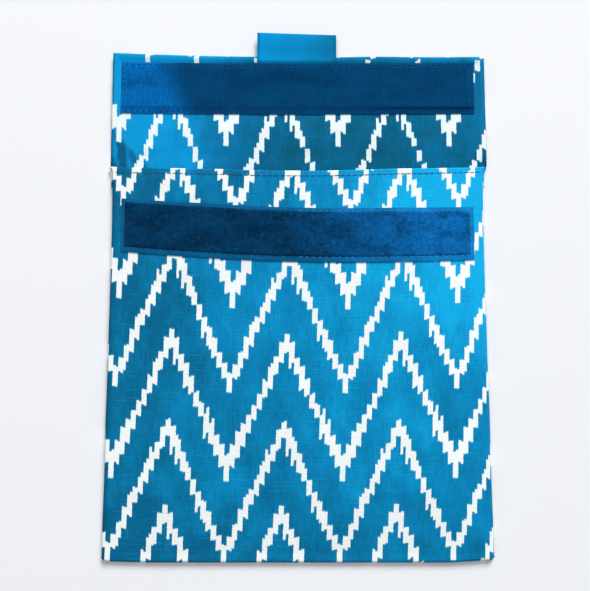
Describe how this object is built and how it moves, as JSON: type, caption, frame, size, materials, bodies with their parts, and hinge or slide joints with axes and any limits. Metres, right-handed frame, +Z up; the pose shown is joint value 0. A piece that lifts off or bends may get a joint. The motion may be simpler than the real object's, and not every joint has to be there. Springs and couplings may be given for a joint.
{
  "type": "reusable sandwich bag",
  "caption": "Flat lined cloth sandwich bag with a fold-over flap that shuts by hook and loop tape, a slightly open mouth and a ribbon pull tab.",
  "frame": {"origin": "centre of the bag's outline, from the bottom fold to the tip of the pull tab, on the face that it lies on", "axes": "+X across the bag, +Y from the bottom fold to the mouth and the open flap, +Z up out of the table"},
  "size_m": [0.207, 0.287, 0.0135],
  "materials": {
    "canvas": "slubby woven cotton, printed",
    "lining": "printed cotton with a smooth wipe clean laminate",
    "loop_tape": "brushed loop pile",
    "hook_tape": "woven nylon with small hooks",
    "ribbon": "satin",
    "thread": "polyester sewing thread"
  },
  "bodies": {
    "pouch": {"back_outer": "canvas", "back_lining": "lining", "bottom_fold": "canvas", "left_side_seam": "canvas", "right_side_seam": "canvas", "left_front_side": "canvas", "right_front_side": "canvas"},
    "front": {"front_outer": "canvas", "front_lining": "lining", "mouth_turn_in": "canvas", "mouth_topstitch": "thread", "loop_tape": "loop_tape", "loop_tape_stitching": "thread"},
    "flap": {"flap_outer": "canvas", "flap_left_allowance": "canvas", "flap_right_allowance": "canvas", "flap_edge_allowance": "canvas", "flap_lining": "lining", "hook_tape": "hook_tape", "hook_tape_stitching": "thread", "pull_tab_sewn_ends": "ribbon"},
    "tab": {"pull_tab": "ribbon"}
  },
  "joints": [
    {"name": "flap_fold", "type": "hinge", "parent": "pouch", "child": "flap", "pos_m": [0, 0.0703, 0.0051], "axis": [1, 0, 0], "range_deg": [0, 180]},
    {"name": "mouth", "type": "hinge", "parent": "pouch", "child": "front", "pos_m": [0, -0.13825, 0.00147], "axis": [1, 0, 0], "range_deg": [-2.09, 0], "deforming": ["left_front_side", "right_front_side"]},
    {"name": "tab_lift", "type": "hinge", "parent": "flap", "child": "tab", "pos_m": [0, 0.1311, 0.0024], "axis": [1, 0, 0], "range_deg": [-36, 0]}
  ],
  "couplings": [
    {"joint": "mouth", "follows": "flap_fold", "ratio": -0.011598},
    {"joint": "tab_lift", "follows": "flap_fold", "ratio": -0.2}
  ]
}
